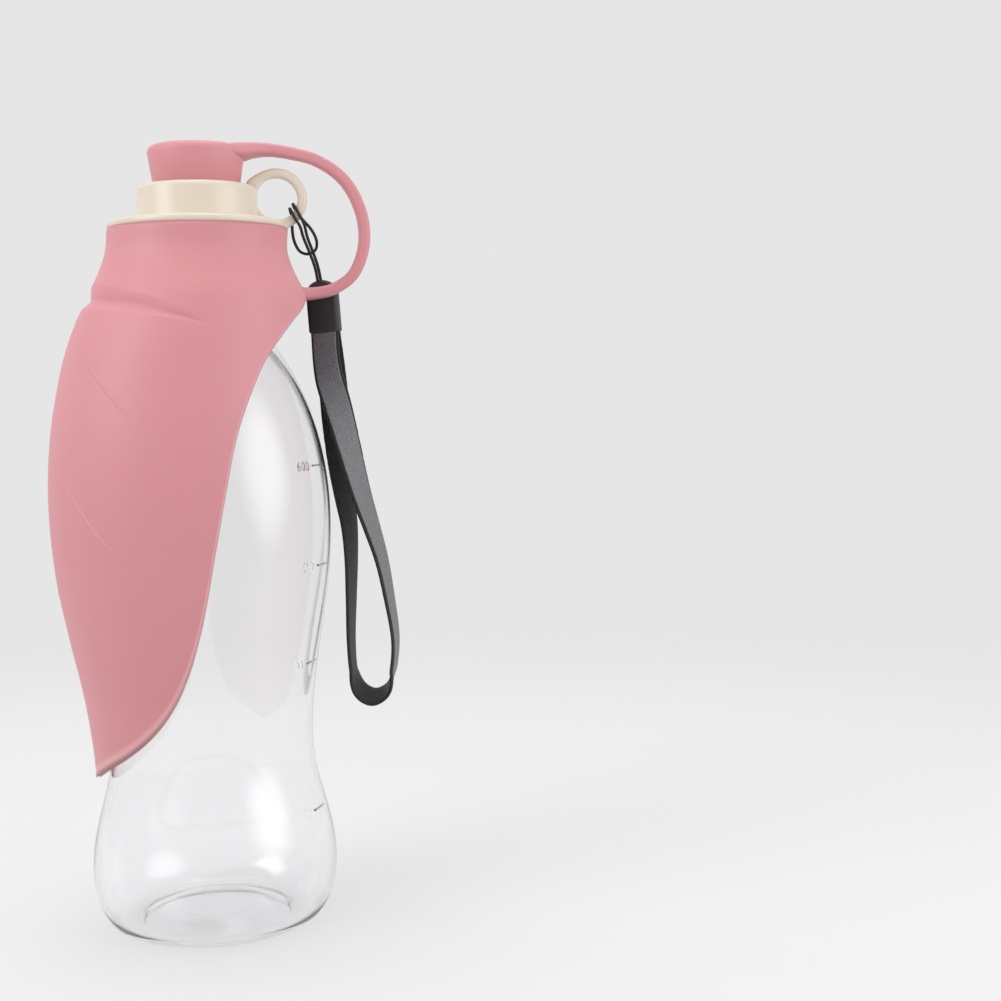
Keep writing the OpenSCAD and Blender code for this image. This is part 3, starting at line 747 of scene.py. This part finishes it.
# Washer: a soft flat ring of pale rubber that lies under the cap and seals the neck. It never
# shows from outside, so its solid is kept as it is, and only gets the look of rubber.
washer_rubber, shader, add, join = new_material("washer_rubber")
shader.inputs["Base Color"].default_value = (0.85, 0.85, 0.83, 1)
shader.inputs["Roughness"].default_value = 0.6
coords = add("ShaderNodeTexCoord")
grain = add("ShaderNodeTexNoise", Scale=1200, Detail=2)
join(coords.outputs["Object"], grain.inputs["Vector"])
raise_surface(shader, add, join, grain.outputs["Fac"], 0.2, 0.00005)
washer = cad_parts["cap_washer"]
washer.data.materials.clear()
washer.data.materials.append(washer_rubber)


# Leaf cup: one soft silicone skin. Its collar is clipped under the flange, its blade wraps the
# bottle to a tip near the waist, and its free margins run up to the strap on the other side.
leaf_sides = 240
collar_rows, fold_rows, blade_rows = 18, 24, 80
leaf_wall = 2.3
# The wall thins to half over the last part of the blade
thin_from, thin_by = 0.86, 0.5
# The margin is rounded this much, with an edge a little squarer than a half circle
margin_round, margin_square = 0.45 * mm, 0.6
# The skin's outer face: height, reach on the midrib's side, half width
leaf_sections = (
    (227, 28.9, 28.9), (220, 29.6, 29.1), (213.5, 31.8, 31.2), (208.5, 34.2, 33.6),
    (205.3, 35.8, 35), (201.6, 37.4, 36), (198.3, 39, 36.8), (192, 41.6, 38.2), (181, 44.9, 40),
    (161, 48.6, 43.2), (139, 49.9, 44.8), (116, 48.4, 44), (96, 44.9, 41.8), (77, 41, 39),
    (60, 38.6, 37.4), (50, 37.9, 37.2), (44, 37.6, 37),
)
# Its free margin: angle from the strap, height
leaf_edge = (
    (0, 205), (12, 203.8), (24, 200.2), (34, 196.6), (46, 190.2), (54, 184), (64, 171.8),
    (71, 159.6), (77, 142), (82, 124.5), (86, 111), (90, 100.6), (96, 89), (104, 78.6),
    (115, 69.8), (130, 62.4), (150, 56), (168, 51.5), (180, 50),
)
# The fold where the blade leaves the collar, by the angle from the midrib: the height of its
# crease and its size. Across it: height over the crease, and share of its depth.
fold_line = (
    (0, 204, 1), (18, 203.8, 1.04), (38, 202.9, 1.04), (52, 201.9, 0.98), (64, 200.6, 0.85),
    (74, 199.2, 0.66), (86, 197.3, 0.36), (100, 195.4, 0), (146, 203, 0), (180, 211, 0),
)
fold_side = ((4.6, 0), (2.2, 0.5), (0, 1), (-1.2, 0.62), (-2.4, 0.05), (-3.6, 0))
fold_over, fold_under = fold_side[0][0], fold_side[-1][0]
fold_depth, fold_least = 1.8, 0.3


def table_at(table, x):
    """A smooth curve through the rows of a table, at x."""
    falling = table[1][0] < table[0][0]
    i = 0
    while i < len(table) - 2 and (x < table[i + 1][0] if falling else x > table[i + 1][0]):
        i += 1
    row, after = Vector(table[i]), Vector(table[i + 1])
    t = (x - row[0]) / (after[0] - row[0])
    rise = after - row
    slope_0 = rise / rise[0]
    slope_1 = rise / rise[0]
    if i > 0:
        before = Vector(table[i - 1])
        slope_0 = (after - before) / (after[0] - before[0])
    if i + 2 < len(table):
        later = Vector(table[i + 2])
        slope_1 = (later - row) / (later[0] - row[0])
    return (row + rise * t * t * (3 - 2 * t)
            + rise[0] * (slope_0 * t * (1 - t) ** 2 - slope_1 * t * t * (1 - t)))


def leaf_point(angle, z, inset=0):
    """A point on the leaf, this far inside its outer face. The angle is in degrees from +X."""
    section = table_at(leaf_sections, z)
    reach, half = section[1], section[2]
    shift = (half * half - reach * reach) / (2 * reach)
    fold = table_at(fold_line, abs(angle % 360 - 180))
    over = (z - fold[1]) / max(fold[2], fold_least)
    cut = fold_depth * max(fold[2], 0) * table_at(fold_side, max(fold_under, min(over, fold_over)))[1]
    r = reach + shift - cut - inset
    a = math.radians(angle)
    return Vector((shift + r * math.cos(a), r * math.sin(a), z)) * mm


def edge_z(angle):
    """The height of the free margin at an angle."""
    return table_at(leaf_edge, min(angle % 360, 360 - angle % 360))[1]


leaf_angles = [360 * i / leaf_sides for i in range(leaf_sides)]
leaf_levels = collar_rows + fold_rows + blade_rows


def leaf_ring(level, inset):
    """Points round the skin at one level. The levels crowd a little towards the blade's start."""
    ring = []
    for angle in leaf_angles:
        fold = table_at(fold_line, abs(angle - 180))
        size = max(fold[2], fold_least)
        top, end = fold[1] + fold_over * size, fold[1] + fold_under * size
        if level < collar_rows:
            z = flange_z + (top - flange_z) * level / collar_rows
        elif level < collar_rows + fold_rows:
            z = top + (end - top) * (level - collar_rows) / fold_rows
        else:
            share = (level - collar_rows - fold_rows) / blade_rows
            z = end + (edge_z(angle) - end) * share ** 1.15
        thin = max(0, (level - collar_rows - fold_rows) / blade_rows - thin_from) / (1 - thin_from)
        ring.append(leaf_point(angle, z, inset * (1 - thin_by * thin * thin * (3 - 2 * thin))))
    return ring


def lip_ring(r, z):
    """A round ring with a point at each of the leaf's angles."""
    return [
        Vector((r * math.cos(math.radians(a)), r * math.sin(math.radians(a)), z)) * mm
        for a in leaf_angles
    ]


def margin_rings(rounding, steps):
    """Rings round the free margin, from the outer face to the inner one."""
    outer, inner = leaf_ring(leaf_levels, 0), leaf_ring(leaf_levels, leaf_wall)
    rings = []
    for step in range(steps + 1):
        c, s = math.cos(math.pi * step / steps), math.sin(math.pi * step / steps)
        through = math.copysign(abs(c) ** margin_square, c)
        out = rounding * (s ** margin_square - 1)
        ring = []
        for i in range(leaf_sides):
            middle, half = (outer[i] + inner[i]) / 2, (outer[i] - inner[i]) / 2
            along = outer[(i + 1) % leaf_sides] - outer[i - 1]
            away = half.cross(along).normalized()
            ring.append(middle + half * through + away * out)
        rings.append(ring)
    return rings


lip_hole_r, lip_low = skirt_out + 0.1, flange_z - lip_t
leaf_rings = [lip_ring(lip_hole_r, flange_z)]
leaf_rings += [leaf_ring(level, 0) for level in range(leaf_levels)]
edge_start = len(leaf_rings)
leaf_rings += margin_rings(margin_round, 8)
edge_end = len(leaf_rings)
leaf_rings += [leaf_ring(level, leaf_wall) for level in range(leaf_levels - 1, 0, -2)]
leaf_rings += [
    lip_ring(flange_r - 0.2 - leaf_wall, lip_low), lip_ring(lip_hole_r, lip_low),
    lip_ring(lip_hole_r, flange_z),
]
bm = lofted(leaf_rings, ends=False)
# A paler pink is painted along the rounded free margin, a painted highlight where light catches the
# edge
rim = bm.verts.layers.float.new("rim")
row = bm.verts.layers.int["row"]
for v in bm.verts:
    if edge_start - 1 <= v[row] <= edge_end:
        v[rim] = 1
bmesh.ops.remove_doubles(bm, verts=bm.verts, dist=1e-7)
bmesh.ops.recalc_face_normals(bm, faces=bm.faces)

silicone, shader, add, join = new_material("pink_silicone")
shader.inputs["Roughness"].default_value = 0.48
shader.inputs["Subsurface Weight"].default_value = 0.2
shader.inputs["Subsurface Radius"].default_value = (0.004, 0.0018, 0.0015)
coords = add("ShaderNodeTexCoord")
tone = add("ShaderNodeTexNoise", Scale=18, Detail=2)
grain = add("ShaderNodeTexNoise", Scale=1500, Detail=3)
# Painted highlight: the margin's rows are mixed towards a paler pink, which stands in for light
# caught on the rounded edge
painted_edge_highlight = add("ShaderNodeAttribute", attribute_name="rim")
edge_highlight_mix = add("ShaderNodeMix", data_type="RGBA")
edge_highlight_mix.inputs["B"].default_value = (0.82, 0.42, 0.44, 1)
join(coords.outputs["Object"], tone.inputs["Vector"])
join(coords.outputs["Object"], grain.inputs["Vector"])
colour = two_tones(add, join, tone.outputs["Fac"], (0.68, 0.275, 0.305), (0.73, 0.312, 0.342))
join(colour, edge_highlight_mix.inputs["A"])
join(painted_edge_highlight.outputs["Fac"], edge_highlight_mix.inputs["Factor"])
join(edge_highlight_mix.outputs["Result"], shader.inputs["Base Color"])
raise_surface(shader, add, join, grain.outputs["Fac"], 0.25, 0.00006)
leaf = into_piece(bm, "leaf", "head", silicone)
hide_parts("leaf_cup")


# Veins: low ridges moulded on the blade. A midrib runs down to the tip, and pairs of side
# veins leave it and curve down towards the margins.
vein_half, vein_high, vein_root = 0.85 * mm, 0.24 * mm, 0.4 * mm
vein_profile = [(math.cos(math.pi * k / 8), math.sin(math.pi * k / 8) ** 2) for k in range(9)]


def vein(stations):
    """A ridge over the leaf through stations of angle and height, tapered at both ends."""
    line = smooth_route([Vector((a, z, 0)) for a, z in stations], 12)
    rings = []
    for i, at in enumerate(line):
        here = leaf_point(at.x, at.y)
        after = line[min(i + 1, len(line) - 1)]
        before = line[max(i - 1, 0)]
        along = (leaf_point(after.x, after.y) - leaf_point(before.x, before.y)).normalized()
        out = (here - leaf_point(at.x, at.y, 1)).normalized()
        side = along.cross(out)
        share = i / (len(line) - 1)
        fade = min(1, 3 * share, 4 * (1 - share))
        spread = 0.5 + 0.5 * fade
        ridge_part = [
            here + side * u * vein_half * spread + out * (h * vein_high * fade - 0.03 * mm)
            for u, h in vein_profile
        ]
        root = [here + side * u * vein_half - out * vein_root for u in (-0.9, 0.9)]
        rings.append(ridge_part + root)
    return lofted(rings)


side_veins = (
    ((186, 197.6), (200, 194.3), (211, 189.3), (219, 184.6), (228, 179.3), (235, 174.9),
     (242, 170), (249, 165.3)),
    ((180, 156), (195, 153), (209, 148.1), (220, 140.7), (228.5, 133.5), (236, 127.9),
     (243.5, 122.5)),
    ((180, 112), (193, 110), (206, 106.2), (215, 101.1), (224.5, 96)),
)
for number, stations in enumerate(side_veins):
    for side, side_name in ((1, "front"), (-1, "back")):
        bm = vein([(180 + side * (a - 180), z) for a, z in stations])
        into_piece(bm, f"side_vein_{number}_{side_name}", "head", silicone)
bm = vein([(180, z) for z in (194, 180, 160, 139, 116, 96, 77, 56)])
into_piece(bm, "midrib", "head", silicone)


# Strap: silicone, grown out of the leaf's collar. It bows out past the ring and ends flush with
# the top of the plug, and it spreads and thickens like a web where it joins the plug.
# Each station: how far out it lies, its height, width and thickness.
strap_stations = (
    (33.2, 206.2, 9, 4.3), (38, 206.5, 7.1, 3.95), (43.2, 207.7, 6.4, 3.85), (49, 211.4, 6.1, 3.8),
    (52.4, 217, 6, 3.8), (54, 224.3, 6, 3.8), (53.2, 232.3, 6, 3.8), (50, 240.1, 6, 3.8),
    (45.1, 245.8, 5.6, 3.8), (38, 250, 5.2, 3.8), (30.5, 251.9, 5.6, 3.85), (25.8, 252.7, 6.4, 3.95),
    (23.2, 252.9, 7.2, 4.1), (20.7, 252.9, 9, 4.3), (18, 252.7, 12, 4.6), (15.5, 252.3, 15.4, 5.2),
    (13, 252, 18.8, 5.2), (11, 252, 21.4, 4.5), (8, 252.1, 23.6, 3.6),
)
strap_line = smooth_route([Vector(station) for station in strap_stations], 8)
strap_rings = []
for i, (x, z, wide, thick) in enumerate(strap_line):
    place = Vector((x, 0, z)) * mm
    before, after = strap_line[max(i - 1, 0)], strap_line[min(i + 1, len(strap_line) - 1)]
    out = Vector((before.y - after.y, 0, after.x - before.x)).normalized()
    strap_rings.append([
        place + Vector((0, p.x, 0)) + out * p.y
        for p in soft_oblong(wide / 2 * mm, thick / 2 * mm, 0, 40, 0.62)
    ])
strap = into_piece(lofted(strap_rings), "strap", None, silicone)
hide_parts("plug_strap")
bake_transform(strap)


# Plug: a thick domed cap of the same silicone. It goes over the spout's lip, and a boss inside
# it fills the bore.
plug_z, plug_h, plug_foot_r, plug_top_r = collar_top, 13.5, 13.9, 15.5
plug_dome, plug_dome_r, recess_r = 0.7, 13, 10.4
plug_rim = plug_z + plug_h - plug_dome
boss_r = spout_bore_r - 0.1
plug_outline = (
    [(0, plug_z + 2.6), (boss_r - 1, plug_z + 2.6), (boss_r, plug_z + 3.6), (boss_r, plug_z + 6.6),
     (recess_r, plug_z + 6.6), (recess_r, plug_z), (plug_foot_r - 0.4, plug_z),
     (plug_foot_r, plug_z + 0.4)]
    + arc((plug_top_r - 2.4, plug_rim - 2.4), 2.4, 2.4, 0, 86, 12)
    + [(r, plug_z + plug_h - plug_dome * (r / plug_dome_r) ** 2) for r in (11, 8, 5, 2.5, 0)]
)
bm = bmesh.new()
spun(bm, plug_outline, 128)
plug = into_piece(bm, "plug", "plug", silicone)
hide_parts("spout_plug")
